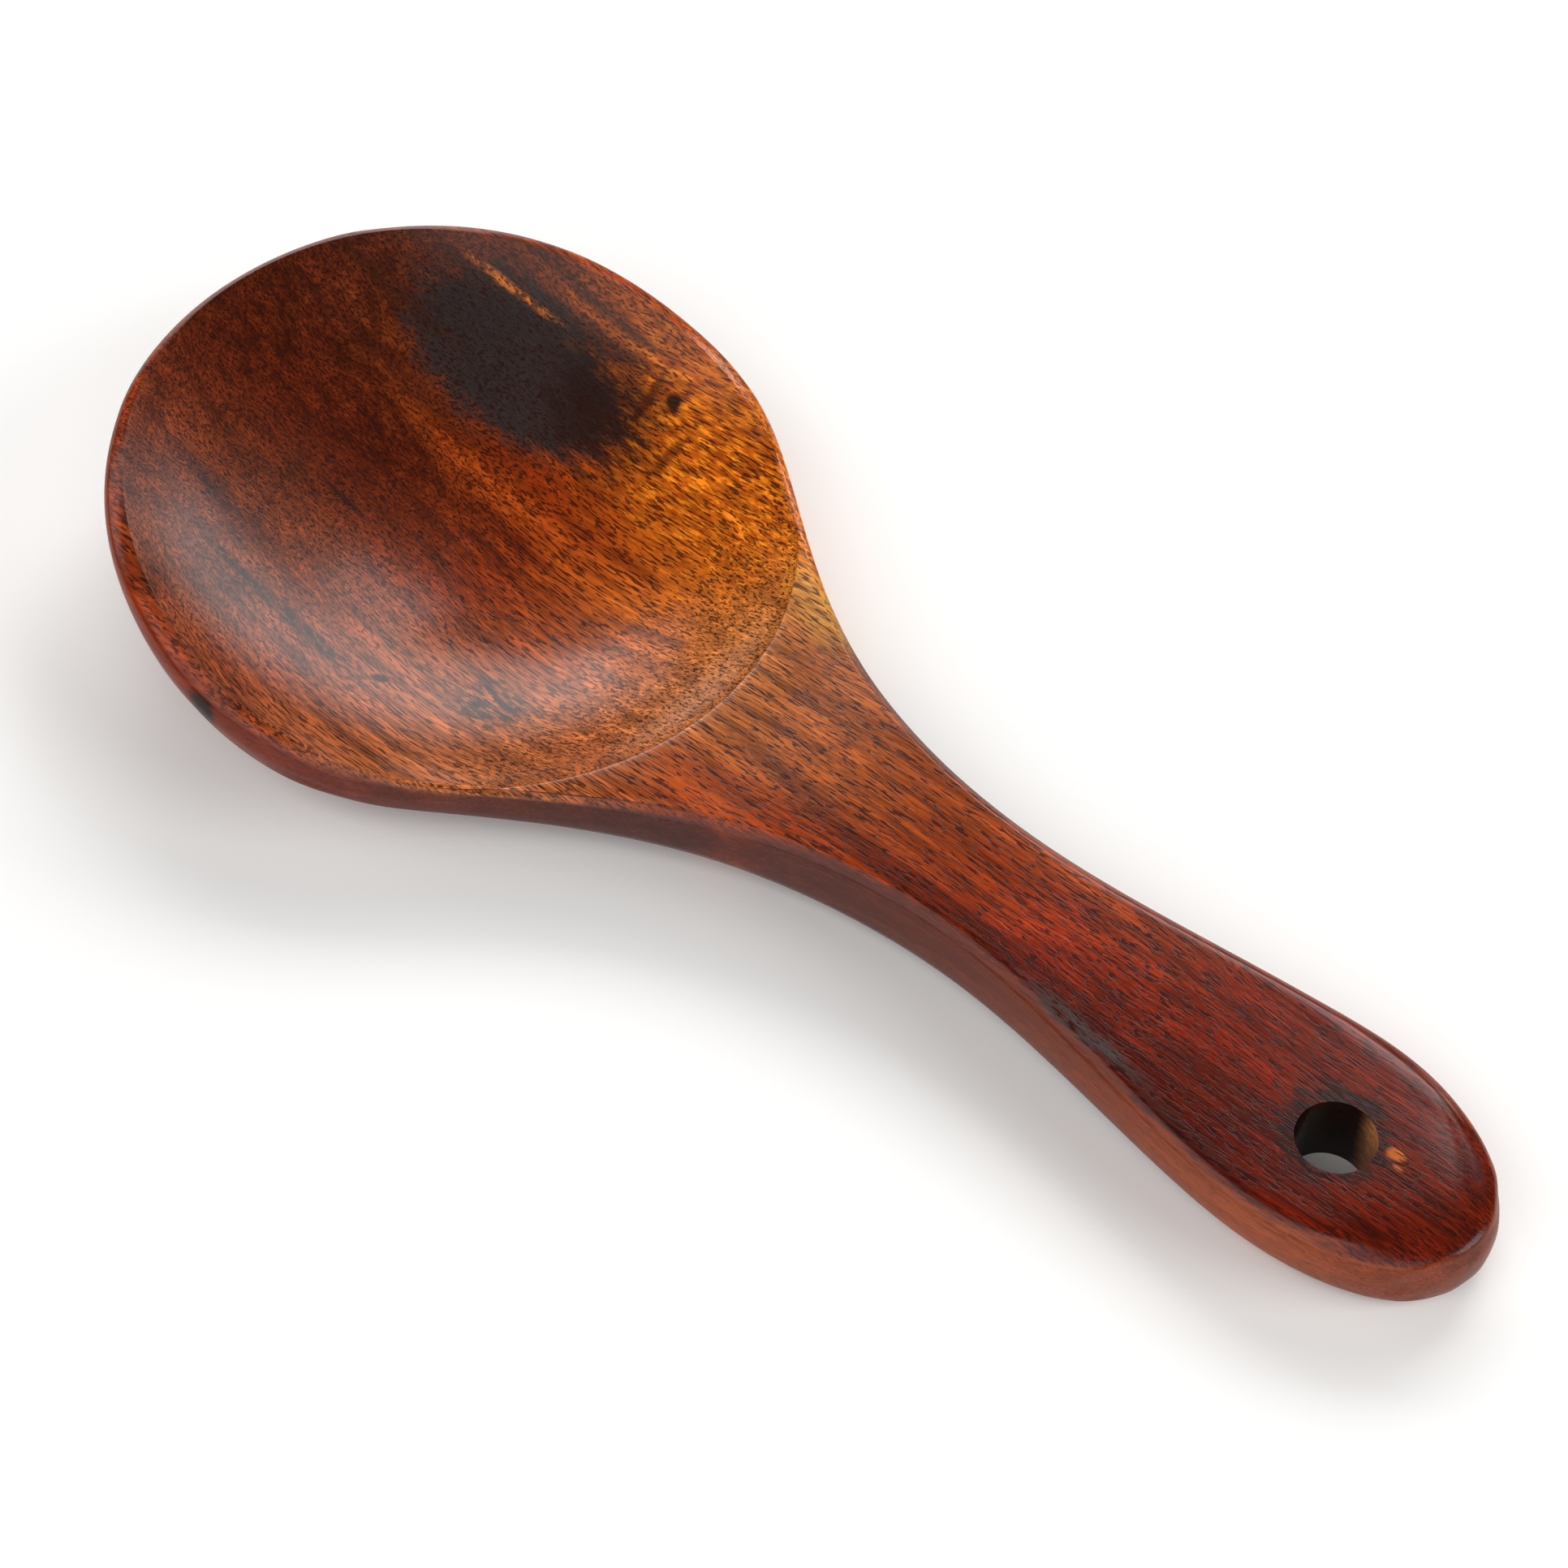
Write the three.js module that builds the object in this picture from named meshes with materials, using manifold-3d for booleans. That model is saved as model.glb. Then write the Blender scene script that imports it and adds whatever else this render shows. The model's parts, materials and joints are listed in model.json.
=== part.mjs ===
// A serving spoon carved in one piece from a board of dark hardwood. It has a round, shallow
// bowl, a narrow neck, and a flat handle with a drilled hole for a hook.
// Millimetres, +Z up. X runs along the spoon. Stations are measured from the tip of the bowl,
// and the finished mesh is then centred on its length. The spoon lies on its belly and on the
// underside of the handle's end, both flat at z = 0.
import * as THREE from 'three';
import { mergeVertices } from 'three/addons/utils/BufferGeometryUtils.js';
import Module from 'manifold-3d';

// driving dimensions
const LENGTH = 205;
const BOWL_RADIUS = 44.75;
const NECK_HALF_WIDTH = 9;
const NECK_X = 134;
const HANDLE_HALF_WIDTH = 14.6;
const HANDLE_WIDEST_X = 181;
const HOLE_RADIUS = 4.8;
const HOLE_X = 184;
const HOLE_Y = -0.8;

// the bowl's hollow, an ellipse seen from above
const HOLLOW_X = 45.9;
const HOLLOW_HALF_LENGTH = 43.7;
const HOLLOW_HALF_WIDTH = 41.5;
const HOLLOW_DEPTH = 11.5;
const HOLLOW_FULLNESS = 0.85;

// the plan: where the bowl's circle ends, and the reach of each curve's handles
const BOWL_ARC_END = THREE.MathUtils.degToRad(78);
const SHOULDER_REACH = 20;
const NECK_REACH_TO_BOWL = 46;
const NECK_REACH_TO_END = 13.5;
const FLARE_REACH = 11.5;

// heights along the spoon, as [x, height]: the rim climbs to the tip, the handle stays level
const TOP_EDGE = [[0, 27], [22, 23.7], [45, 17.6], [67, 13.5], [88, 12.3], [112, 13.5], [135, 13.7],
  [160, 12.1], [176, 11], [LENGTH, 11]];
const UNDERSIDE = [[0, 0], [62, 0], [95, 0.5], [125, 1.4], [155, 0.6], [170, 0], [LENGTH, 0]];

// how the upper edge is rounded, and how the underside turns up into the sides
const EDGE_RADIUS = [[0, 3], [60, 3], [85, 1.6], [135, 1.4], [165, 1.4], [186, 2], [LENGTH, 4.5]];
const FLAT_SHARE = [[0, 0.24], [55, 0.24], [92, 0.4], [125, 0.62], [LENGTH, 0.62]];
const SIDE_SQUARENESS = [[0, 2], [55, 2], [92, 2.6], [125, 3], [LENGTH, 3]];

// fineness of the mesh
const HALF_OUTLINE_STEPS = 68;
const TOP_SHARES = [0, 0.5];
const EDGE_STEPS = 4;
const SIDE_STEPS = 9;
const HOLLOW_SIDES = 96;
const HOLLOW_RINGS = 18;
const HOLE_SIDES = 40;
const CUT_CLEARANCE = 4;

const QUARTER_TURN = Math.PI / 2;

// A smooth curve through [x, value] stations, level at its first and last one.
function valueAt(stations, x) {
  const last = stations.length - 1;
  if (x <= stations[0][0]) return stations[0][1];
  if (x >= stations[last][0]) return stations[last][1];
  const i = stations.findIndex((station) => station[0] > x) - 1;
  const slopeAt = (k) => {
    if (k === 0 || k === last) return 0;
    const before = (stations[k][1] - stations[k - 1][1]) / (stations[k][0] - stations[k - 1][0]);
    const after = (stations[k + 1][1] - stations[k][1]) / (stations[k + 1][0] - stations[k][0]);
    return before === 0 || after === 0 ? 0 : (before + after) / 2;
  };
  const span = stations[i + 1][0] - stations[i][0];
  const t = (x - stations[i][0]) / span;
  const rise = stations[i + 1][1] - stations[i][1];
  const blend = t * t * (3 - 2 * t);
  const lean = t * (1 - t) ** 2 * slopeAt(i) - t * t * (1 - t) * slopeAt(i + 1);
  return stations[i][1] + rise * blend + span * lean;
}

// Half of the plan: the bowl's circle, the sweep into the neck, the flare and the round end.
function halfOutline() {
  const path = new THREE.Path();
  path.moveTo(0, 0);
  path.absarc(BOWL_RADIUS, 0, BOWL_RADIUS, Math.PI, BOWL_ARC_END, true);
  const arcEnd = path.currentPoint.clone();
  const shoulder = new THREE.Vector2(Math.sin(BOWL_ARC_END), -Math.cos(BOWL_ARC_END));
  shoulder.multiplyScalar(SHOULDER_REACH).add(arcEnd);
  path.bezierCurveTo(shoulder.x, shoulder.y,
    NECK_X - NECK_REACH_TO_BOWL, NECK_HALF_WIDTH, NECK_X, NECK_HALF_WIDTH);
  path.bezierCurveTo(NECK_X + NECK_REACH_TO_END, NECK_HALF_WIDTH,
    HANDLE_WIDEST_X - FLARE_REACH, HANDLE_HALF_WIDTH, HANDLE_WIDEST_X, HANDLE_HALF_WIDTH);
  path.absellipse(HANDLE_WIDEST_X, 0, LENGTH - HANDLE_WIDEST_X, HANDLE_HALF_WIDTH, QUARTER_TURN, 0, true);
  return path.getSpacedPoints(HALF_OUTLINE_STEPS);
}

// The whole plan, once round, as points with the nearest point of the spoon's spine.
function outlineStations() {
  const half = halfOutline();
  const mirrored = half.slice(1, -1).reverse().map((point) => new THREE.Vector2(point.x, -point.y));
  const spineEnd = LENGTH - HANDLE_HALF_WIDTH;
  return [...half, ...mirrored].map((edge) => ({
    edge,
    spine: new THREE.Vector2(THREE.MathUtils.clamp(edge.x, BOWL_RADIUS, spineEnd), 0),
  }));
}

// A point between the spine (share 0) and the outline (share 1), seen from above.
function planPoint(station, share) {
  return station.spine.clone().lerp(station.edge, share);
}

// Closes a stack of rings into one body. Its first and last rings are folded onto a line or a point.
function skinOfRings(rings) {
  const count = rings[0].length;
  const positions = rings.flat().flatMap((point) => point.toArray());
  const faces = [];
  for (let ring = 0; ring < rings.length - 1; ring += 1) {
    for (let i = 0; i < count; i += 1) {
      const a = ring * count + i;
      const b = ring * count + ((i + 1) % count);
      faces.push(a, b, a + count, b, b + count, a + count);
    }
  }
  const skin = new THREE.BufferGeometry();
  skin.setAttribute('position', new THREE.Float32BufferAttribute(positions, 3));
  skin.setIndex(faces);
  return withoutFlatFaces(mergeVertices(skin, 1e-4));
}

// Drops the faces that the folded rings leave with no area.
function withoutFlatFaces(geometry) {
  const index = geometry.index.array;
  const kept = [];
  for (let i = 0; i < index.length; i += 3) {
    const [a, b, c] = index.slice(i, i + 3);
    if (a !== b && b !== c && c !== a) kept.push(a, b, c);
  }
  geometry.setIndex(kept);
  return geometry;
}

// The shaped blank before it is hollowed: level top, rounded edge, sides and underside.
function blankGeometry() {
  const stations = outlineStations();
  const rings = TOP_SHARES.map((share) => stations.map((station) => {
    const plan = planPoint(station, share);
    return new THREE.Vector3(plan.x, plan.y, valueAt(TOP_EDGE, plan.x));
  }));
  for (let step = 0; step <= EDGE_STEPS; step += 1) {
    const angle = (QUARTER_TURN * step) / EDGE_STEPS;
    rings.push(stations.map((station) => {
      const radius = valueAt(EDGE_RADIUS, station.edge.x);
      const reach = station.edge.distanceTo(station.spine);
      const plan = planPoint(station, (reach - radius + radius * Math.sin(angle)) / reach);
      return new THREE.Vector3(plan.x, plan.y, valueAt(TOP_EDGE, plan.x) - radius + radius * Math.cos(angle));
    }));
  }
  for (let step = 1; step <= SIDE_STEPS; step += 1) {
    const angle = (QUARTER_TURN * step) / SIDE_STEPS;
    rings.push(stations.map((station) => {
      const { x } = station.edge;
      const power = 2 / valueAt(SIDE_SQUARENESS, x);
      const flat = valueAt(FLAT_SHARE, x);
      const inward = step === SIDE_STEPS ? 0 : Math.cos(angle) ** power;
      const plan = planPoint(station, flat + (1 - flat) * inward);
      const high = valueAt(TOP_EDGE, x) - valueAt(EDGE_RADIUS, x);
      const low = valueAt(UNDERSIDE, plan.x);
      return new THREE.Vector3(plan.x, plan.y, high - (high - low) * Math.sin(angle) ** power);
    }));
  }
  rings.push(stations.map((station) => {
    const { x } = station.spine;
    return new THREE.Vector3(x, 0, valueAt(UNDERSIDE, x));
  }));
  return skinOfRings(rings);
}

// The wood that the gouge takes out of the bowl, reaching past the top of the blank.
function hollowGeometry() {
  const ringAt = (share, heightAt) => Array.from({ length: HOLLOW_SIDES }, (_, i) => {
    const angle = (-2 * Math.PI * i) / HOLLOW_SIDES;
    const x = HOLLOW_X + share * HOLLOW_HALF_LENGTH * Math.cos(angle);
    const y = share * HOLLOW_HALF_WIDTH * Math.sin(angle);
    return new THREE.Vector3(x, y, heightAt(x, share));
  });
  const above = (x) => valueAt(TOP_EDGE, x) + CUT_CLEARANCE;
  const carved = (x, share) => valueAt(TOP_EDGE, x) - HOLLOW_DEPTH * (1 - share ** 2) ** HOLLOW_FULLNESS;
  const rings = [ringAt(0, above), ringAt(1, above)];
  for (let ring = HOLLOW_RINGS; ring >= 0; ring -= 1) {
    rings.push(ringAt(Math.sin((QUARTER_TURN * ring) / HOLLOW_RINGS), carved));
  }
  return skinOfRings(rings);
}

// The drill that makes the hanging hole, a little off the middle line as a hand-held one goes.
function holeGeometry() {
  const height = valueAt(TOP_EDGE, HOLE_X) + 2 * CUT_CLEARANCE;
  const drill = new THREE.CylinderGeometry(HOLE_RADIUS, HOLE_RADIUS, height, HOLE_SIDES);
  drill.rotateX(QUARTER_TURN);
  drill.translate(HOLE_X, HOLE_Y, height / 2 - CUT_CLEARANCE);
  return drill;
}

const wasm = await Module();
wasm.setup();

function solidOf(geometry) {
  const bare = new THREE.BufferGeometry();
  bare.setAttribute('position', geometry.getAttribute('position'));
  bare.setIndex(geometry.index);
  const merged = mergeVertices(bare, 1e-4);
  return new wasm.Manifold(new wasm.Mesh({
    numProp: 3,
    vertProperties: Float32Array.from(merged.getAttribute('position').array),
    triVerts: Uint32Array.from(merged.index.array),
  }));
}

function geometryOf(solid) {
  const mesh = solid.getMesh();
  const geometry = new THREE.BufferGeometry();
  geometry.setAttribute('position', new THREE.BufferAttribute(mesh.vertProperties, 3));
  geometry.setIndex(new THREE.BufferAttribute(mesh.triVerts, 1));
  geometry.computeVertexNormals();
  return geometry;
}

function carvedSpoon() {
  const carved = solidOf(blankGeometry())
    .subtract(solidOf(hollowGeometry()))
    .subtract(solidOf(holeGeometry()));
  const lacqueredHardwood = new THREE.MeshStandardMaterial({
    color: 0x7a3316,
    roughness: 0.32,
    metalness: 0,
  });
  const mesh = new THREE.Mesh(geometryOf(carved), lacqueredHardwood);
  mesh.name = 'carved_spoon';
  mesh.position.x = -LENGTH / 2;
  return mesh;
}

const spoon = new THREE.Group();
spoon.add(carvedSpoon());

export default spoon;
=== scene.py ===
import bpy
import bmesh
import json
from math import sin, cos, radians
from mathutils import Matrix, Vector

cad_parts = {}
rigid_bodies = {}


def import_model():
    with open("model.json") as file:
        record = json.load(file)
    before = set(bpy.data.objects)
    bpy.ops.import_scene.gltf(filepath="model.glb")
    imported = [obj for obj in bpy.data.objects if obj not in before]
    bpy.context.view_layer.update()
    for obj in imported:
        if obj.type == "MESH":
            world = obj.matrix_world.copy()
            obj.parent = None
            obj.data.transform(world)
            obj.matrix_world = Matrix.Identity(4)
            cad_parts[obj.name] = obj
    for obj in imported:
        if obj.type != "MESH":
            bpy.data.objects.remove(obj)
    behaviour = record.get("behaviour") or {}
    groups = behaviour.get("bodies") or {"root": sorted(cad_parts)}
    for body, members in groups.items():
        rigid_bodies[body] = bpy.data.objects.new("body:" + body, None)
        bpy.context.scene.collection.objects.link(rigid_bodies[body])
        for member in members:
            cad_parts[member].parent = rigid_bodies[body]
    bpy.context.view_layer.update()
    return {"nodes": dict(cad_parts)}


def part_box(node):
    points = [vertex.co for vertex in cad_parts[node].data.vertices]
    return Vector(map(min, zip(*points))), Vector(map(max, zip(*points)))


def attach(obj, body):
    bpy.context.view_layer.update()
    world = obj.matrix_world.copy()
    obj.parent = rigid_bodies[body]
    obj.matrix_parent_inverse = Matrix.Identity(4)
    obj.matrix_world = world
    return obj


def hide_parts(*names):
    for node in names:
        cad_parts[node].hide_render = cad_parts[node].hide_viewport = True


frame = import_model()
cadSpoon = frame["nodes"]["carved_spoon"]
tip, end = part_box("carved_spoon")  # lowest and highest corners of the wood
mm = 0.001


def deselectAll():
    if bpy.context.object and bpy.context.object.mode != "OBJECT":
        bpy.ops.object.mode_set(mode="OBJECT")
    bpy.ops.object.select_all(action="DESELECT")


# selects the parts of the edited mesh that pass a test: kind is "verts", "edges" or "faces"
def pick(kind, test):
    bpy.ops.mesh.select_mode(type={"verts": "VERT", "edges": "EDGE", "faces": "FACE"}[kind])
    bpy.ops.mesh.select_all(action="DESELECT")
    piece = bpy.context.object
    mesh = bmesh.from_edit_mesh(piece.data)
    for part in getattr(mesh, kind):
        if test(part):
            part.select_set(True)
    bmesh.update_edit_mesh(piece.data)


def nameGroup(name):
    piece = bpy.context.object
    piece.vertex_groups.active_index = piece.vertex_groups.new(name=name).index
    bpy.ops.object.vertex_group_assign()


def finishWith(kind, **settings):
    piece = bpy.context.object
    step = piece.modifiers.new(kind.lower(), kind)
    for name, value in settings.items():
        setattr(step, name, value)
    bpy.ops.object.modifier_apply(modifier=step.name)


# millimetres; places along the spoon are counted from the bowl's tip
spoonShape = {
    "rimSides": 64,
    "hollowCentre": 45.9,
    "hollowHalfLength": 43.7,
    "hollowHalfWidth": 41.5,
    "hollowRings": (0.9, 0.78, 0.65, 0.52, 0.4),  # shares of the hollow's size
    "hollowPasses": 40,  # to even the net in the hollow's middle
    "neckStart": 66.0,  # where the rim and the neck's edges part
    # rows of the handle: how far the middle of the row is along, and how far its ends lag
    "rows": ((92.5, 19.8), (96.5, 17), (101, 15), (106.5, 13.6), (112.5, 12.2), (119, 10.6),
             (126, 9), (133, 7.4), (140, 6), (147, 4.8), (154, 4), (161, 3.6), (168, 3.8),
             (174.5, 4.4), (180.5, 5.2), (186, 6.2), (191, 7.4), (195.5, 8.8), (199, 10), (201.6, 11)),
    "handleHeight": 11,
    "feelAt": (0.3, 0.4, 0.5, 0.6, 0.7),  # shares of the height at which the sides are felt for
    "netHeight": 60,  # the top's net is drawn this high up, the underside's this far down
    "topAbove": 8,  # the top lies above this height
    "edgeInset": 1.1,  # where the top's edge loop lies, just over the start of the rounding
    "sideLoops": 10,
    "ridgeWidth": 2.4,
    "ridgeMiss": 0.004,  # how far off the rim, in shares, a corner still counts as on it
    # shares of that width along the spoon: from, to, share
    "ridgeSoftness": ((-5, 60, 0.3), (60, 72, 0.5), (72, 80, 0.8), (80, 100, 1)),
    "neckEasing": ((0.14, 4), (0.07, 4)),  # how far from the ridge, in shares, and how many passes
    "holeAlong": 184,
    "holeAside": -0.8,
    "holeRadius": 4.8,
    "drillLength": 40,
    "nick": (43.5, -45, 14),  # where a splinter is gone: along, aside and up
    "nickSize": 1.1,
    "nickDepth": 6,
    "nickLean": -20,  # degrees
    # the handle's near edge: from, to, crispness
    "nearRidge": ((86, 94, 0.3), (94, 168, 0.65), (168, 180, 0.45), (180, 188, 0.2)),
    # from where the handle's top rolls over to its end, and how many passes
    "endEasing": ((176, 4), (191, 8)),
    "endAbove": 7,
    # sideways and along: on the near side of the first, the edge stays crisp as far as the second
    "keptCrisp": (-5, 190),
    "sideClearance": 2.0,  # the side loops are drawn this far out before they are laid on the wood
    "sideSwell": 0.2,  # and laid this much proud of it, because rounding the net draws it in
}


# a copy of the frame's solid with its hanging hole plugged, for the spoon's net to be laid on
def makeForm(shape):
    deselectAll()
    cadSpoon.select_set(True)
    bpy.context.view_layer.objects.active = cadSpoon
    bpy.ops.object.duplicate()
    form = bpy.context.object
    form.name = "form"
    bpy.ops.object.mode_set(mode="EDIT")
    bpy.ops.mesh.select_all(action="SELECT")
    bpy.ops.mesh.remove_doubles(threshold=1e-6)
    hole = Vector((tip.x + shape["holeAlong"] * mm, shape["holeAside"] * mm))
    pick("faces", lambda face: abs(face.normal.z) < 0.2
         and all((v.co.xy - hole).length < shape["holeRadius"] * mm * 1.1 for v in face.verts))
    bpy.ops.mesh.delete(type="FACE")
    bpy.ops.mesh.select_mode(type="EDGE")
    bpy.ops.mesh.select_non_manifold(extend=False)
    bpy.ops.mesh.fill_holes(sides=0)
    bpy.ops.object.mode_set(mode="OBJECT")
    form.select_set(False)
    return form


# how far the wood reaches sideways from the middle line, felt on the form
def halfWidthAt(x, shape):
    overBowl = x < tip.x + shape["hollowCentre"] * mm
    high = end.z if overBowl else shape["handleHeight"] * mm
    reach = 0.0
    for share in shape["feelAt"]:
        hit, place, normal, face = form.ray_cast(Vector((x, -1, high * share)), Vector((0, 1, 0)))
        if hit:
            reach = max(reach, -place.y)
    return reach


# the top: the hollow's rim, and the neck and handle drawn out from the far part of it, row by row
def drawTopSkin(shape):
    middle = Vector((tip.x + shape["hollowCentre"] * mm, 0, shape["netHeight"] * mm))
    bpy.ops.mesh.primitive_circle_add(vertices=shape["rimSides"], radius=1, location=(0, 0, 0))
    spoon = bpy.context.object
    spoon.name = "woodenSpoon"
    bpy.ops.object.mode_set(mode="EDIT")
    bpy.ops.transform.resize(value=(shape["hollowHalfLength"] * mm, shape["hollowHalfWidth"] * mm, 1))
    bpy.ops.transform.translate(value=middle)
    pick("edges", lambda edge: sum(v.co.x for v in edge.verts) / 2 > tip.x + shape["neckStart"] * mm)
    mesh = bmesh.from_edit_mesh(spoon.data)
    chosen = [v.co for v in mesh.verts if v.select]
    middleX = max(co.x for co in chosen)
    lag = middleX - min(co.x for co in chosen)
    halfWidth = max(co.y for co in chosen)
    for rowMiddle, rowLag in shape["rows"]:
        rowX = tip.x + rowMiddle * mm
        endX = rowX - rowLag * mm
        rowWidth = halfWidthAt(endX, shape) - shape["edgeInset"] * mm
        bpy.ops.mesh.extrude_edges_move()
        bpy.ops.transform.resize(value=(rowLag * mm / lag, rowWidth / halfWidth, 1),
                                 center_override=(middleX, 0, middle.z))
        bpy.ops.transform.translate(value=(rowX - middleX, 0, 0))
        middleX, lag, halfWidth = rowX, rowLag * mm, rowWidth
    return spoon, middle


# the hollow: rings drawn inwards from the rim, and a plain grid in the middle
def drawHollow(shape, middle):
    pick("edges", lambda edge: all(abs(rimShare(v.co, shape) - 1) < 1e-4 for v in edge.verts))
    size = 1.0
    for share in shape["hollowRings"]:
        bpy.ops.mesh.extrude_edges_move()
        bpy.ops.transform.resize(value=(share / size, share / size, 1), center_override=middle)
        size = share
    bpy.ops.mesh.fill_grid(span=shape["rimSides"] // 4)
    pick("verts", lambda vert: rimShare(vert.co, shape) < shape["hollowRings"][1] - 1e-4)
    bpy.ops.mesh.vertices_smooth(factor=0.5, repeat=shape["hollowPasses"])


# 0 in the middle of the hollow and 1 on its rim
def rimShare(co, shape):
    along = (co.x - tip.x) / mm - shape["hollowCentre"]
    return ((along / shape["hollowHalfLength"]) ** 2 + (co.y / mm / shape["hollowHalfWidth"]) ** 2) ** 0.5


# the underside is the same net, turned over; both are dropped onto the frame's solid
def drawUnderside(middle):
    bpy.ops.mesh.select_all(action="SELECT")
    bpy.ops.mesh.normals_make_consistent(inside=False)
    bpy.ops.mesh.duplicate_move(TRANSFORM_OT_translate={"value": (0, 0, -2 * middle.z)})
    bpy.ops.mesh.flip_normals()
    nameGroup("underside")
    pick("verts", lambda vert: vert.co.z > 0)
    nameGroup("top")
    deselectAll()
    bpy.context.object.select_set(True)
    finishWith("SHRINKWRAP", target=form, wrap_method="PROJECT", use_project_z=True,
               use_negative_direction=True, use_positive_direction=False, vertex_group="top")
    finishWith("SHRINKWRAP", target=form, wrap_method="PROJECT", use_project_z=True,
               use_positive_direction=True, use_negative_direction=False, vertex_group="underside")


# the sides: loops bridged from the top's edge to the underside's, and laid on the wood
def closeSides(shape):
    bpy.ops.object.mode_set(mode="EDIT")
    for fromX, toX, crispness in shape["nearRidge"]:
        pick("edges", lambda edge: edge.is_boundary
             and all(v.co.z > shape["topAbove"] * mm and v.co.y < 0 for v in edge.verts)
             and fromX * mm <= sum(v.co.x for v in edge.verts) / 2 - tip.x < toX * mm)
        bpy.ops.transform.edge_crease(value=crispness)
    bpy.ops.mesh.select_all(action="DESELECT")
    bpy.ops.mesh.select_non_manifold(extend=False, use_wire=False, use_boundary=True,
                                     use_multi_face=False, use_non_contiguous=False, use_verts=False)
    bpy.ops.mesh.bridge_edge_loops(number_cuts=shape["sideLoops"], interpolation="LINEAR")
    bpy.ops.mesh.select_mode(type="VERT")
    bpy.ops.mesh.select_less()
    nameGroup("sides")
    bpy.ops.mesh.select_all(action="SELECT")
    bpy.ops.mesh.normals_make_consistent(inside=False)
    bpy.ops.mesh.select_all(action="DESELECT")
    bpy.ops.object.vertex_group_select()
    bpy.ops.transform.shrink_fatten(value=shape["sideClearance"] * mm)
    bpy.ops.object.mode_set(mode="OBJECT")
    finishWith("SHRINKWRAP", target=form, wrap_method="NEAREST_SURFACEPOINT", vertex_group="sides",
               offset=shape["sideSwell"] * mm)


# the ridge round the hollow: how softly it is sanded at the tip, the sides and the neck
def softenRidge(shape):
    bpy.ops.object.mode_set(mode="EDIT")
    for fromX, toX, softness in shape["ridgeSoftness"]:
        pick("edges", lambda edge: all(abs(rimShare(v.co, shape) - 1) < shape["ridgeMiss"]
                                       and v.co.z > shape["topAbove"] * mm for v in edge.verts)
             and fromX * mm <= sum(v.co.x for v in edge.verts) / 2 - tip.x < toX * mm)
        bpy.ops.transform.edge_bevelweight(value=softness)
    bpy.ops.object.mode_set(mode="OBJECT")
    finishWith("BEVEL", width=shape["ridgeWidth"] * mm, segments=3, limit_method="WEIGHT", profile=0.5)
    # by the neck the sander has all but taken the ridge away
    bpy.ops.object.mode_set(mode="EDIT")
    for share, repeat in shape["neckEasing"]:
        pick("verts", lambda vert: abs(rimShare(vert.co, shape) - 1) < share
             and vert.co.z > shape["topAbove"] * mm and vert.co.x - tip.x > shape["neckStart"] * mm)
        bpy.ops.mesh.vertices_smooth(factor=0.5, repeat=repeat, xaxis=False, yaxis=False)
    bpy.ops.object.mode_set(mode="OBJECT")


# the far and end edges of the handle roll over softly
def easeEnd(shape):
    nearSide, pastNear = shape["keptCrisp"]
    bpy.ops.object.mode_set(mode="EDIT")
    for easedFrom, repeat in shape["endEasing"]:
        pick("verts", lambda vert: vert.co.z > shape["endAbove"] * mm
             and vert.co.x - tip.x > easedFrom * mm
             and (vert.co.y > nearSide * mm or vert.co.x - tip.x > pastNear * mm))
        bpy.ops.mesh.vertices_smooth(factor=0.5, repeat=repeat, xaxis=False, yaxis=False)
    bpy.ops.object.mode_set(mode="OBJECT")


def drillHole(shape):
    holeX = tip.x + shape["holeAlong"] * mm
    spoon = bpy.context.object
    spoon.select_set(False)
    bpy.ops.mesh.primitive_cylinder_add(vertices=64, radius=shape["holeRadius"] * mm,
                                        depth=shape["drillLength"] * mm,
                                        location=(holeX, shape["holeAside"] * mm, 0))
    drill = bpy.context.object
    bpy.context.view_layer.objects.active = spoon
    finishWith("BOOLEAN", operation="DIFFERENCE", object=drill, solver="EXACT")
    bpy.data.objects.remove(drill)
    spoon.select_set(True)


# a splinter is gone from the near edge of the bowl
def nickEdge(shape):
    along, aside, high = shape["nick"]
    spoon = bpy.context.object
    spoon.select_set(False)
    bpy.ops.mesh.primitive_cylinder_add(vertices=3, radius=shape["nickSize"] * mm,
                                        depth=shape["nickDepth"] * mm,
                                        location=(tip.x + along * mm, aside * mm, high * mm))
    splinter = bpy.context.object
    splinter.rotation_euler = (radians(shape["nickLean"]), 0, radians(180))
    bpy.context.view_layer.objects.active = spoon
    finishWith("BOOLEAN", operation="DIFFERENCE", object=splinter, solver="EXACT")
    bpy.data.objects.remove(splinter)
    spoon.select_set(True)


form = makeForm(spoonShape)
spoon, bowlMiddle = drawTopSkin(spoonShape)
drawHollow(spoonShape, bowlMiddle)
drawUnderside(bowlMiddle)
closeSides(spoonShape)
softenRidge(spoonShape)
easeEnd(spoonShape)
finishWith("SUBSURF", levels=2, render_levels=2)
drillHole(spoonShape)
nickEdge(spoonShape)
bpy.data.objects.remove(form)
bpy.ops.object.select_all(action="DESELECT")
spoon.select_set(True)
bpy.ops.object.shade_smooth_by_angle(angle=radians(50))
print("spoon carved,", len(spoon.data.polygons), "faces")
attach(spoon, "root")
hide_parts("carved_spoon")


def linear(hexColour):
    parts = [int(hexColour[i:i + 2], 16) / 255 for i in (0, 2, 4)]
    return tuple(c / 12.92 if c <= 0.04045 else ((c + 0.055) / 1.055) ** 2.4 for c in parts) + (1,)


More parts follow.
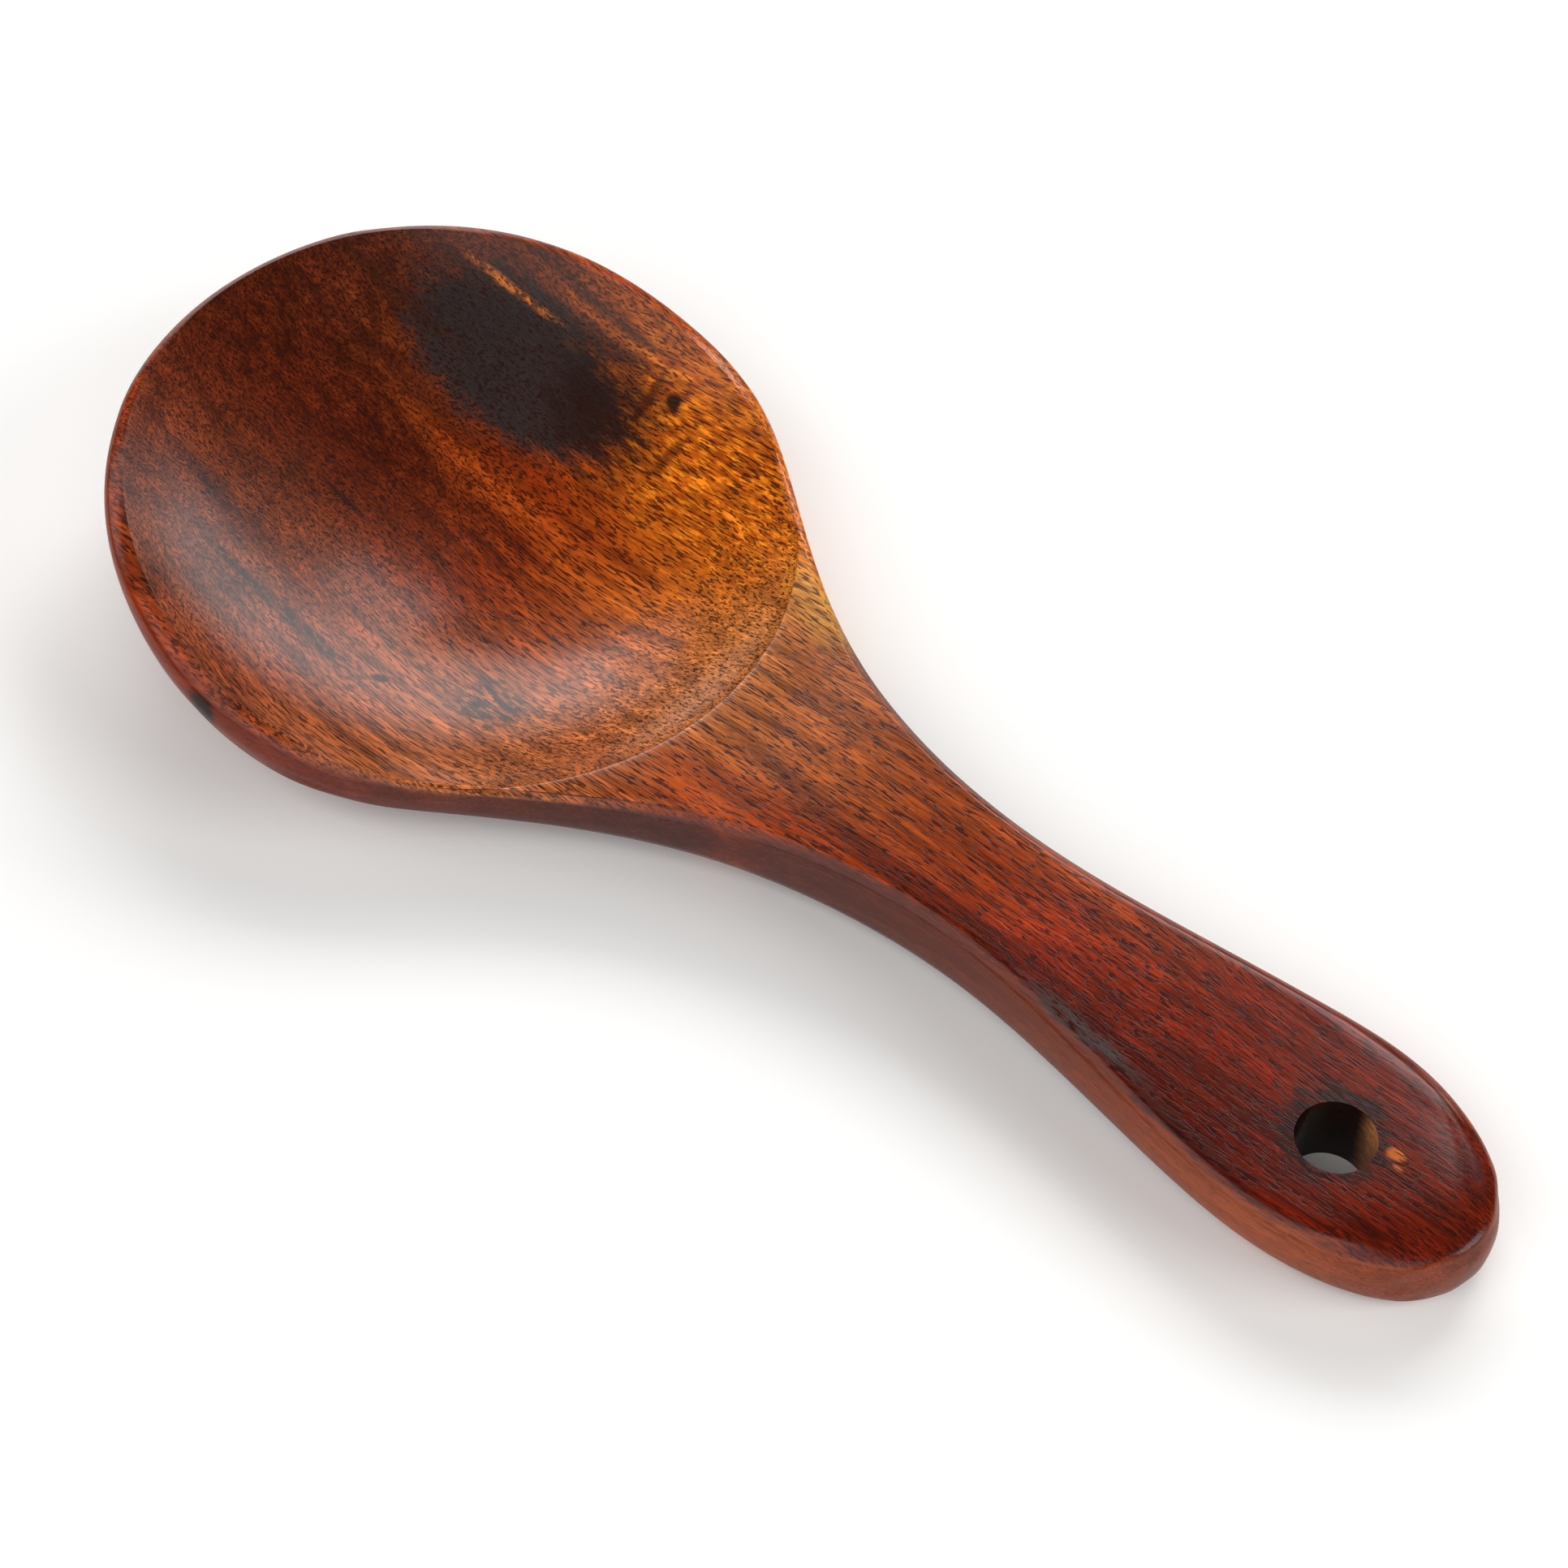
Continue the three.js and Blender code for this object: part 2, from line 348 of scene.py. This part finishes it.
# adds a node: settings are its properties, its inputs' values or a ramp's stops, links feed its inputs
def add(tree, kind, settings={}, links={}):
    node = tree.nodes.new("ShaderNode" + kind)
    for name, value in settings.items():
        if name == "stops":
            stops = node.color_ramp.elements
            while len(stops) < len(value):
                stops.new(1)
            for stop, (place, colour) in zip(stops, value):
                stop.position = place
                stop.color = linear(colour)
        elif isinstance(name, str) and hasattr(node, name):
            setattr(node, name, value)
        else:
            node.inputs[name].default_value = value
    for name, socket in links.items():
        tree.links.new(socket, node.inputs[name])
    return node


woodFigure = {
    # the stained wood's colour along the far side, the middle and the near side: station and colour
    "farTones": ((0, "4A1A0A"), (14, "54220C"), (30, "6C2E08"), (48, "943C08"), (72, "B05A16"),
                 (84, "B86E32"), (94, "985020"), (118, "863A10"), (140, "883612"), (165, "6E1E06"),
                 (205, "5C1808")),
    "middleTones": ((0, "4C1A06"), (28, "501A06"), (40, "642408"), (49, "722808"), (60, "8E3E14"),
                    (72, "A8541E"), (84, "B86C38"), (94, "965020"), (122, "903A0C"), (142, "862606"),
                    (165, "6A1A04"), (205, "581604")),
    "nearTones": ((0, "6A2A10"), (22, "6C3014"), (45, "843E1E"), (74, "A65A2A"), (84, "A6582C"),
                  (96, "8E380C"), (120, "822C08"), (142, "6C1C06"), (165, "601604"), (205, "5C1606")),
    # and down the flanks
    "flankTones": ((0, "82300E"), (30, "7E2C0E"), (52, "702812"), (68, "5C281C"), (95, "4A241E"),
                   (125, "5A281C"), (160, "7A3418"), (182, "94441E"), (205, "70301A")),
    "length": 205,
    "bands": (60, 20, 130, 8),  # how wide the sides' tones are: a station and a width on bowl and handle
    "ragged": 12,  # how far the streaks push those bands about
    # painted light: the lighter red tone on the bowl's outward-sloping land, where it catches the light
    "litLandTone": "A03A10",
    "landShare": 0.6,
    "landFades": (72, 40),
    "flankSlope": (0.9, 0.68),  # how upright the wood faces where the flank's tone starts and is full
    "flankPlainness": 0.65,
    "drift": (0.018, 0.045, 5),  # waves per millimetre along and across, and how far the grain wanders
    # the patterns: how many to the millimetre along and across the grain, and how finely broken
    "patterns": {"streaks": (0.018, 0.5, 5), "fibres": (0.055, 2.8, 3), "pores": (0.42, 3.7, 1),
                 "mottle": (0.06, 0.3, 4), "flecks": (0.22, 1.5, 4), "curls": (0.45, 1.25, 6)},
    # how the patterns shade the wood: from and to what part of the pattern, how dark and how light
    "shading": {"streaks": (0.36, 0.64, 0.6, 1.45), "fibres": (0.34, 0.66, 0.52, 1.5),
                "mottle": (0.3, 0.7, 0.88, 1.14)},
    "fray": (0.12, 0.7, 2.5),  # of the marks: waves per millimetre along and across, and how strongly
    "rimDepth": 1e6,  # the rim and the marks are this deep, so that height plays next to no part
    "markDepth": 1000,
    "gaps": (0.44, 0.54),  # the part of a pattern where a broken mark lets the wood show through
    "poreEdge": (0.53, 0.59),
    "poreTone": "2A0E08",
    "poreDepth": (0.8, 0.25),  # on the top and on the flanks
    "roughness": (0.4, 0.55),
    "relief": 0.12 * mm,
    "reliefStrength": 0.12,
    "coatWeight": 0.5,
    "coatRoughness": 0.17,
    "refraction": 1.5,  # typical of wood and of clear lacquer alike
}


# a darker, lighter or greyer mark on the wood, mostly the wood's own and in a few places painted light
# and painted shade: where it lies, half its length and width, its colour and strength, how far it is
# turned in degrees, how far the grain frays it, how soft its edge is, how much of it is broken up and by
# which pattern; dapple is how much its colour varies, and onlySteep keeps it to upright wood, such as
# the inside of the hanging hole
def mark(centre, half, colour, strength, turn=0, fray=0.7, soft=0.6, broken=0, pattern="flecks",
         dapple=0.2, onlySteep=False):
    return dict(centre=centre, half=half, colour=colour, strength=strength, turn=turn, fray=fray,
                soft=soft, broken=broken, pattern=pattern, dapple=dapple, onlySteep=onlySteep)


woodMarksAndPaintedLight = (
    # the golden sapwood beyond the hollow's middle with red curls in it, and a red fringe under it
    mark((66, 31), (24, 11), "E27C18", 0.94, turn=-5, fray=0.5, soft=0.65, broken=0.3, dapple=0.45),
    mark((63, 29), (22, 12), "962C02", 0.58, turn=-6, fray=0.5, soft=0.7, broken=1, pattern="curls"),
    mark((45, 13.5), (18, 4), "7A2606", 0.75, turn=4, soft=0.7, broken=0.5, dapple=0.35),
    mark((44, 10.5), (14, 2), "A84812", 0.6, turn=4, soft=0.7, broken=0.8, dapple=0.4),
    # the dark heart, the dark band and gold streak over it, its ragged end, knots and cross marks
    mark((33, 33.2), (14, 1.3), "1E1410", 0.9, turn=11, fray=0.5, soft=0.5, broken=0.3),
    mark((35, 37), (12, 0.7), "2E1A10", 0.85, turn=5, fray=0.5, soft=0.6, broken=0.5),
    mark((31.5, 24), (16, 9.2), "2C2726", 0.97, turn=10, fray=0.34, soft=0.22, dapple=0.12),
    mark((43, 29), (7, 5.5), "221612", 0.95, turn=8, fray=0.8, soft=0.5, broken=0.35),
    mark((46.5, 25), (7, 6), "2A1610", 0.85, fray=0.9, broken=0.85),
    mark((25, 30.6), (6.5, 0.5), "B86420", 0.9, turn=11, fray=0.5, broken=0.6, dapple=0.4),
    mark((50.7, 34.4), (1.2, 1.1), "1C100C", 0.95, fray=0.4, soft=0.5),
    mark((47.6, 33), (0.7, 3.6), "3A1408", 0.85, turn=4, fray=0.8, soft=0.6, broken=0.3),
    mark((55, 29), (0.8, 3.4), "4A1A08", 0.8, turn=-8, fray=0.8, soft=0.6, broken=0.3),
    mark((16, 19), (8, 1.3), "361A0E", 0.75, turn=9, fray=0.6, broken=0.5),
    mark((14, 27), (7, 0.9), "361A0E", 0.7, turn=14, fray=0.6, broken=0.5),
    mark((24, 12), (13, 1.4), "3A180C", 0.7, turn=5, fray=0.6, broken=0.6),
    # pale sapwood where the far edge runs into the neck, and painted sheen lightening the ridge there
    mark((88, 20.5), (7, 2.6), "CC903C", 0.75, turn=-28, fray=0.4, soft=0.7, broken=0.4),
    # painted sheen on the neck's ridge, softening the step in shading between hollow and neck
    mark((85.5, 0), (2.6, 12), "BE7E54", 0.45, fray=0.2, soft=0.9),
    # dark mineral streaks and flecks on the near side of the hollow
    mark((30, -20), (10, 3), "38201A", 0.55, soft=0.7, broken=0.9),
    mark((37, -25.6), (15, 0.7), "1A1010", 0.95, turn=1, fray=0.5, broken=0.55),
    mark((43, -24.4), (9, 0.8), "1C1212", 0.9, turn=4, fray=0.6, broken=0.7),
    mark((32, -28.5), (12, 1.4), "30201C", 0.6, broken=0.9),
    mark((20, -20), (7, 0.7), "2C1814", 0.8, turn=-4, fray=0.6, broken=0.5),
    mark((30, -6.4), (3.6, 0.4), "22120E", 0.85, turn=3, fray=0.5, broken=0.3),
    mark((52.2, -22.6), (1, 0.6), "120C0C", 0.95, turn=20, fray=0.4, soft=0.3),
    mark((64, -15.5), (5, 4.2), "1E1414", 0.95, turn=15, fray=0.6, soft=0.6, broken=1, pattern="curls"),
    # bands of darker wood down the neck and handle, and a rubbed grey place by its near edge
    mark((108, -4.5), (15, 1.7), "4A1E10", 0.75, turn=-9, fray=0.6, soft=0.7, broken=0.45),
    mark((97, -12), (7, 2), "B04A12", 0.6, turn=-8, fray=0.6, soft=0.8, broken=0.3),
    mark((139, -6.6), (22, 1.7), "360E08", 0.8, turn=-2, fray=0.6, soft=0.7, broken=0.5),
    mark((171, -4), (11, 1.7), "380E06", 0.75, soft=0.7, broken=0.6),
    mark((196, -1.6), (9, 1.8), "360E08", 0.75, turn=-3, fray=0.6, soft=0.7, broken=0.6),
    mark((170, 6), (22, 0.9), "441006", 0.6, turn=2, fray=0.6, soft=0.7, broken=0.6),
    mark((153.5, -9), (10, 1.1), "3E3836", 0.9, turn=-6, fray=0.35, soft=0.4, broken=0.3),
    mark((170, -11.4), (9, 0.9), "38201A", 0.75, turn=-7, fray=0.4, soft=0.5, broken=0.5),
    # the split nick in the near edge of the bowl
    mark((43.5, -44.4), (2.2, 0.7), "160C0A", 0.95, turn=4, fray=0.4, soft=0.4),
    # the drill has bruised the wood round the hole and lifted a chip; inside the hole, painted shade
    # darkens the wall and painted light brightens its far side, where the light falls in
    mark((183.3, -0.6), (6.9, 6.6), "241A18", 0.94, fray=0.45, soft=0.14, broken=0.45, pattern="curls"),
    # painted shade inside the hanging hole
    mark((184, -0.8), (8, 8), "160C08", 0.96, fray=0, soft=0.1, onlySteep=True),
    # painted light on the hole's far wall, where the light falls in
    mark((188, 2.2), (3, 3.2), "C8824E", 0.95, fray=0.2, soft=0.5, onlySteep=True),
    mark((190.4, 1.8), (1.1, 0.8), "C8682C", 0.9, soft=0.4),
    mark((191.6, 0.4), (0.7, 0.3), "B05A28", 0.8, soft=0.4),
)


# hardwood, stained red-brown, sanded and given a clear satin lacquer: the stain sits deep in the open
# pores and streaks, the lacquer lays a soft even sheen over them
def stainedHardwood(figure, marks, shape):
    wood = bpy.data.materials.new("stainedHardwoodSatinLacquer")
    wood.use_nodes = True
    tree = wood.node_tree
    skin = tree.nodes["Principled BSDF"]
    soft = "SMOOTHSTEP"
    halfway = (0.5, 0.5, 0.5)

    # places in millimetres, counted along the spoon from the bowl's tip
    inObject = add(tree, "TexCoord").outputs["Object"]
    place = add(tree, "Mapping", {"Scale": (1 / mm, 1 / mm, 1 / mm),
                                  "Location": (figure["length"] / 2, 0, 0)},
                {"Vector": inObject}).outputs[0]
    # the grain wanders a little as it runs down the spoon
    along, across, wander = figure["drift"]
    slow = add(tree, "Mapping", {"Scale": (along, across, across)}, {"Vector": place}).outputs[0]
    drift = add(tree, "TexNoise", {"Scale": 1, "Detail": 2}, {"Vector": slow}).outputs["Color"]
    drift = add(tree, "VectorMath", {"operation": "SUBTRACT", 1: halfway}, {0: drift}).outputs[0]
    drift = add(tree, "VectorMath", {"operation": "MULTIPLY", 1: (0, wander, wander)}, {0: drift}).outputs[0]
    grain = add(tree, "VectorMath", {"operation": "ADD"}, {0: place, 1: drift}).outputs[0]
    patterns = {}
    for name, (along, across, detail) in figure["patterns"].items():
        stretched = add(tree, "Mapping", {"Scale": (along, across, across)}, {"Vector": grain}).outputs[0]
        patterns[name] = add(tree, "TexNoise", {"Scale": 1, "Detail": detail, "Roughness": 0.6},
                             {"Vector": stretched}).outputs["Fac"]

    # the three runs of tone along the spoon, blended across it
    apart = add(tree, "SeparateXYZ", {}, {0: grain})
    station = add(tree, "MapRange", {"From Max": figure["length"]}, {"Value": apart.outputs["X"]}).outputs[0]
    farTone, middleTone, nearTone, flankTone = (
        add(tree, "ValToRGB", {"stops": [(x / figure["length"], colour) for x, colour in figure[name]]},
            {0: station}).outputs[0]
        for name in ("farTones", "middleTones", "nearTones", "flankTones"))
    # the handle is a third as wide as the bowl, so its bands are closer together
    bowlStation, bowlBand, handleStation, handleBand = figure["bands"]
    band = add(tree, "MapRange", {"From Min": bowlStation, "From Max": handleStation,
                                  "To Min": bowlBand, "To Max": handleBand},
               {"Value": apart.outputs["X"]}).outputs[0]
    ragged = add(tree, "Math", {"operation": "MULTIPLY_ADD", 1: figure["ragged"], 2: -figure["ragged"] / 2},
                 {0: patterns["streaks"]}).outputs[0]
    side = add(tree, "Math", {"operation": "ADD"}, {0: apart.outputs["Y"], 1: ragged}).outputs[0]
    side = add(tree, "Math", {"operation": "DIVIDE"}, {0: side, 1: band}).outputs[0]
    far = add(tree, "MapRange", {"interpolation_type": soft, "From Min": 0.1, "From Max": 0.9},
              {"Value": side}).outputs[0]
    near = add(tree, "MapRange", {"interpolation_type": soft, "From Min": -0.1, "From Max": -0.9},
               {"Value": side}).outputs[0]
    colour = add(tree, "Mix", {"data_type": "RGBA"}, {0: far, 6: middleTone, 7: farTone}).outputs[2]
    colour = add(tree, "Mix", {"data_type": "RGBA"}, {0: near, 6: colour, 7: nearTone}).outputs[2]

    # painted light: the land between the hollow's ridge and the bowl's edge slopes outward and catches the
    # light, so it is painted a redder, lighter tone; this mapping centres the hollow and shrinks it to a
    # disc of radius 1
    rim = add(tree, "Mapping", {"vector_type": "TEXTURE", "Location": (shape["hollowCentre"], 0, 0),
                                "Scale": (shape["hollowHalfLength"], shape["hollowHalfWidth"],
                                          figure["rimDepth"])}, {"Vector": place}).outputs[0]
    rimReach = add(tree, "VectorMath", {"operation": "LENGTH"}, {0: rim}).outputs["Value"]
    land = add(tree, "MapRange", {"interpolation_type": soft, "From Min": 1, "From Max": 1.02,
                                  "To Max": figure["landShare"]}, {"Value": rimReach}).outputs[0]
    landEnd, landFull = figure["landFades"]
    bowlOnly = add(tree, "MapRange", {"From Min": landEnd, "From Max": landFull},
                   {"Value": apart.outputs["X"]}).outputs[0]
    land = add(tree, "Math", {"operation": "MULTIPLY"}, {0: land, 1: bowlOnly}).outputs[0]
    colour = add(tree, "Mix", {"data_type": "RGBA", 7: linear(figure["litLandTone"])},
                 {0: land, 6: colour}).outputs[2]

    # the flanks start just past the edge of the top, and the hollow's own steep wall is not one of them
    upright = add(tree, "SeparateXYZ", {}, {0: add(tree, "NewGeometry").outputs["Normal"]}).outputs["Z"]
    flankStart, flankFull = figure["flankSlope"]
    steep = add(tree, "MapRange", {"interpolation_type": soft, "From Min": flankStart,
                                   "From Max": flankFull}, {"Value": upright}).outputs[0]
    outside = add(tree, "MapRange", {"From Min": 0.995, "From Max": 1.015}, {"Value": rimReach}).outputs[0]
    below = add(tree, "MapRange", {"From Min": 0, "From Max": -0.1}, {"Value": upright}).outputs[0]
    outside = add(tree, "Math", {"operation": "MAXIMUM"}, {0: outside, 1: below}).outputs[0]
    flank = add(tree, "Math", {"operation": "MULTIPLY"}, {0: steep, 1: outside}).outputs[0]
    plainColour = add(tree, "Mix", {"data_type": "RGBA"}, {0: flank, 6: colour, 7: flankTone}).outputs[2]

    # the patterns darken and lighten the tone under them, less so on the flanks
    colour = plainColour
    for name, (low, high, dark, light) in figure["shading"].items():
        shade = add(tree, "MapRange", {"From Min": low, "From Max": high, "To Min": dark, "To Max": light},
                    {"Value": patterns[name]}).outputs[0]
        colour = add(tree, "VectorMath", {"operation": "SCALE"}, {0: colour, "Scale": shade}).outputs[0]
    plain = add(tree, "MapRange", {"To Min": 0, "To Max": figure["flankPlainness"]},
                {"Value": flank}).outputs[0]
    colour = add(tree, "Mix", {"data_type": "RGBA"}, {0: plain, 6: colour, 7: plainColour}).outputs[2]

    # the marks: each is an oval frayed along the grain, and broken ones let the wood show through
    along, across, pull = figure["fray"]
    frayed = add(tree, "Mapping", {"Scale": (along, across, across)}, {"Vector": place}).outputs[0]
    frayed = add(tree, "TexNoise", {"Scale": 1, "Detail": 4, "Roughness": 0.7}, {"Vector": frayed})
    frayed = add(tree, "VectorMath", {"operation": "SUBTRACT", 1: halfway},
                 {0: frayed.outputs["Color"]}).outputs[0]
    gapStart, gapEnd = figure["gaps"]
    for spot in marks:
        halfLength, halfWidth = spot["half"]
        # this mapping centres, turns and shrinks the place until the oval is a disc of radius 1
        disc = add(tree, "Mapping", {"vector_type": "TEXTURE", "Location": (*spot["centre"], 0),
                                     "Rotation": (0, 0, radians(spot["turn"])),
                                     "Scale": (halfLength, halfWidth, figure["markDepth"])},
                   {"Vector": place}).outputs[0]
        fray = add(tree, "VectorMath", {"operation": "SCALE", "Scale": spot["fray"] * pull},
                   {0: frayed}).outputs[0]
        disc = add(tree, "VectorMath", {"operation": "ADD"}, {0: disc, 1: fray}).outputs[0]
        reach = add(tree, "VectorMath", {"operation": "LENGTH"}, {0: disc}).outputs["Value"]
        cover = add(tree, "MapRange", {"interpolation_type": soft, "From Min": 1 + spot["soft"],
                                       "From Max": 1 - spot["soft"], "To Max": spot["strength"]},
                    {"Value": reach}).outputs[0]
        if spot["broken"]:
            gaps = add(tree, "MapRange", {"interpolation_type": soft, "From Min": gapStart,
                                          "From Max": gapEnd, "To Min": 1 - spot["broken"]},
                       {"Value": patterns[spot["pattern"]]}).outputs[0]
            cover = add(tree, "Math", {"operation": "MULTIPLY"}, {0: cover, 1: gaps}).outputs[0]
        if spot["onlySteep"]:
            cover = add(tree, "Math", {"operation": "MULTIPLY"}, {0: cover, 1: flank}).outputs[0]
        dapple = add(tree, "MapRange", {"From Min": 0.4, "From Max": 0.6, "To Min": 1 - spot["dapple"],
                                        "To Max": 1 + spot["dapple"]}, {"Value": patterns["flecks"]})
        tint = add(tree, "VectorMath", {"operation": "SCALE", 0: linear(spot["colour"])[:3]},
                   {"Scale": dapple.outputs[0]}).outputs[0]
        colour = add(tree, "Mix", {"data_type": "RGBA"}, {0: cover, 6: colour, 7: tint}).outputs[2]

    # open pores: short dark dashes, drawn a little wider than the real 0.15 mm ones so that they show
    poreStart, poreFull = figure["poreEdge"]
    pore = add(tree, "MapRange", {"interpolation_type": soft, "From Min": poreStart, "From Max": poreFull},
               {"Value": patterns["pores"]}).outputs[0]
    onTop, onFlank = figure["poreDepth"]
    poreDepth = add(tree, "MapRange", {"To Min": onTop, "To Max": onFlank}, {"Value": flank}).outputs[0]
    poreDepth = add(tree, "Math", {"operation": "MULTIPLY"}, {0: pore, 1: poreDepth}).outputs[0]
    colour = add(tree, "Mix", {"data_type": "RGBA", 7: linear(figure["poreTone"])},
                 {0: poreDepth, 6: colour}).outputs[2]
    tree.links.new(colour, skin.inputs["Base Color"])

    # the bare wood scatters; all of the shine comes from the lacquer
    smoothest, roughest = figure["roughness"]
    gloss = add(tree, "MapRange", {"From Min": 0.3, "From Max": 0.7, "To Min": smoothest,
                                   "To Max": roughest}, {"Value": patterns["mottle"]}).outputs[0]
    tree.links.new(gloss, skin.inputs["Roughness"])
    skin.inputs["IOR"].default_value = figure["refraction"]
    skin.inputs["Specular IOR Level"].default_value = 0
    skin.inputs["Coat Weight"].default_value = figure["coatWeight"]
    skin.inputs["Coat Roughness"].default_value = figure["coatRoughness"]
    skin.inputs["Coat IOR"].default_value = figure["refraction"]
    # the lacquer sinks a little into the pores and between the fibres
    relief = add(tree, "Math", {"operation": "MULTIPLY_ADD", 1: -0.6},
                 {0: pore, 2: patterns["fibres"]}).outputs[0]
    bump = add(tree, "Bump", {"Strength": figure["reliefStrength"], "Distance": figure["relief"]},
               {"Height": relief}).outputs[0]
    tree.links.new(bump, skin.inputs["Normal"])
    tree.links.new(bump, skin.inputs["Coat Normal"])
    return wood


spoon.data.materials.clear()
spoon.data.materials.append(stainedHardwood(woodFigure, woodMarksAndPaintedLight, spoonShape))
print("wood stained and lacquered")


view = {
    "lens": 80,
    "sensor": 36,
    "turn": 41.0,  # how far round from the spoon's near side
    "lift": 52.07,  # and how far up
    "tilt": 0.11,
    "away": 438.26 * mm,
    "aim": Vector((-2.5, 0, 0)) * mm,
    "across": 0.15 * mm,
    "up": 2.78 * mm,
}


def setCamera(view):
    turn, lift = radians(view["turn"]), radians(view["lift"])
    back = Vector((sin(turn) * cos(lift), -cos(turn) * cos(lift), sin(lift)))
    right = Vector((cos(turn), sin(turn), 0))
    up = back.cross(right)
    lean = Matrix.Rotation(radians(view["tilt"]), 3, back)
    right, up = lean @ right, lean @ up
    place = view["aim"] + back * view["away"] + right * view["across"] + up * view["up"]
    bpy.ops.object.camera_add(location=place)
    camera = bpy.context.object
    camera.matrix_world = Matrix.Translation(place) @ Matrix((right, up, back)).transposed().to_4x4()
    camera.data.lens = view["lens"]
    camera.data.sensor_width = view["sensor"]
    bpy.context.scene.camera = camera


setCamera(view)
print("camera set")

studio = {
    "floorSize": 6,
    "floorColour": "F8F7F5",
    "air": 0.09,
    # softboxes, in metres and watts: where they hang, how wide and high they are, how bright
    "lights": (("softboxBehind", (-0.511, 0.962, 0.763), (1.3, 0.42), 7),
               ("softboxHalo", (-0.6, 1.13, 0.78), (1.95, 0.69), 10.5),
               ("softboxHigh", (-0.17, 0.895, 1.05), (0.4, 0.24), 1.6),
               ("softboxFront", (0.3, -1.1, 1), (2.4, 1.8), 22),
               ("softboxLeft", (-1.2, -0.4, 0.6), (0.6, 0.6), 2.5),
               ("softboxRight", (1.05, 0.42, 0.68), (0.7, 0.7), 7)),
}


# matt paper: it scatters all of the light and has no shine
def layFloor(studio):
    deselectAll()
    bpy.ops.mesh.primitive_plane_add(size=studio["floorSize"], location=(0, 0, 0))
    floor = bpy.context.object
    floor.name = "floor"
    paper = bpy.data.materials.new("paleMattPaper")
    paper.use_nodes = True
    skin = paper.node_tree.nodes["Principled BSDF"]
    skin.inputs["Base Color"].default_value = linear(studio["floorColour"])
    skin.inputs["Roughness"].default_value = 0.9
    skin.inputs["Specular IOR Level"].default_value = 0
    floor.data.materials.append(paper)


def fillAir(studio):
    air = bpy.data.worlds.new("studioAir")
    air.use_nodes = True
    background = air.node_tree.nodes["Background"]
    background.inputs["Color"].default_value = (1, 1, 1, 1)
    background.inputs["Strength"].default_value = studio["air"]
    bpy.context.scene.world = air


# an oblong softbox that faces the spoon
def hangLight(name, place, size, power):
    bpy.ops.object.light_add(type="AREA", location=place)
    lamp = bpy.context.object
    lamp.name = name
    lamp.data.shape = "RECTANGLE"
    lamp.data.size, lamp.data.size_y = size
    lamp.data.energy = power
    lamp.rotation_euler = (-Vector(place)).to_track_quat("-Z", "Y").to_euler()


layFloor(studio)
fillAir(studio)
for softbox in studio["lights"]:
    hangLight(*softbox)
bpy.context.scene.view_settings.view_transform = "Standard"
print("studio lit")
